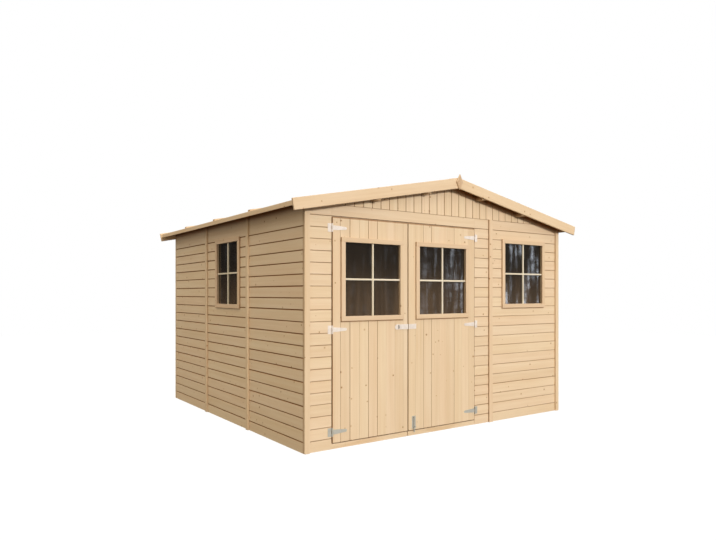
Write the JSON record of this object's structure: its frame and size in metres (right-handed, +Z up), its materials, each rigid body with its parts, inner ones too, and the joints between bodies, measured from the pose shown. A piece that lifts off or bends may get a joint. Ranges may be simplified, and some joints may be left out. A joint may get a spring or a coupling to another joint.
{
  "type": "wooden garden shed",
  "caption": "Pine garden shed with a low gable roof, a glazed double door, windows in the front and side walls, and a board floor.",
  "frame": {"origin": "middle of the plan outline, on the ground", "axes": "+X along the front wall to the right as seen from the front, +Y from the front to the back, +Z up"},
  "size_m": [3.3286, 3.232, 2.2618],
  "materials": {
    "wall_wood": "matt",
    "trim_wood": "matt",
    "frame_wood": "matt",
    "roof_wood": "matt",
    "window_wood": "matt",
    "glazing": "gloss",
    "zinc": "satin"
  },
  "bodies": {
    "shed": {"back_barge_boards": "trim_wood", "back_gable": "wall_wood", "back_wall_panels": "wall_wood", "corner_posts": "frame_wood", "corner_trims": "trim_wood", "door_lintel": "frame_wood", "door_posts": "frame_wood", "door_sill": "trim_wood", "eave_boards": "trim_wood", "floor_bearers": "frame_wood", "floor_deck": "frame_wood", "front_barge_boards": "trim_wood", "front_gable": "wall_wood", "front_wall_header": "wall_wood", "front_wall_left": "wall_wood", "front_wall_right": "wall_wood", "front_wall_window": "wall_wood", "front_window_frame": "window_wood", "front_window_glass": "glazing", "gable_bottom_rails": "frame_wood", "gable_finials": "trim_wood", "gable_top_plates": "frame_wood", "hinge_plates": "zinc", "left_wall_front": "wall_wood", "left_wall_rear": "wall_wood", "left_wall_window": "wall_wood", "left_window_frame": "window_wood", "left_window_glass": "glazing", "ridge_beam": "frame_wood", "ridge_cap": "roof_wood", "right_wall_front": "wall_wood", "right_wall_rear": "wall_wood", "right_wall_window": "wall_wood", "right_window_frame": "window_wood", "right_window_glass": "glazing", "roof_battens": "roof_wood", "roof_left_panels": "roof_wood", "roof_purlins": "frame_wood", "roof_right_panels": "roof_wood", "side_bottom_rails": "frame_wood", "side_top_plates": "frame_wood", "wall_cover_strips": "trim_wood", "wall_studs": "frame_wood"},
    "left_door": {"left_door_boards": "wall_wood", "left_door_ledges": "frame_wood", "left_door_window_frame": "window_wood", "left_door_window_glass": "glazing", "left_hinge_straps": "zinc", "hasp_strap": "zinc", "hasp_staple": "zinc"},
    "right_door": {"right_door_boards": "wall_wood", "right_door_ledges": "frame_wood", "right_door_window_frame": "window_wood", "right_door_window_glass": "glazing", "right_hinge_straps": "zinc", "hasp_plate": "zinc", "bolt_plate": "zinc"},
    "bolt": {"drop_bolt": "zinc"}
  },
  "joints": [
    {"name": "left_door_swing", "type": "hinge", "parent": "shed", "child": "left_door", "pos_m": [-1.2605, -1.506, 0.9], "axis": [0, 0, -1], "range_deg": [0, 160]},
    {"name": "right_door_swing", "type": "hinge", "parent": "shed", "child": "right_door", "pos_m": [0.2935, -1.506, 0.9], "axis": [0, 0, 1], "range_deg": [0, 160]},
    {"name": "drop_bolt_slide", "type": "slide", "parent": "right_door", "child": "bolt", "axis": [0, 0, 1], "range_m": [0, 0.04]}
  ]
}
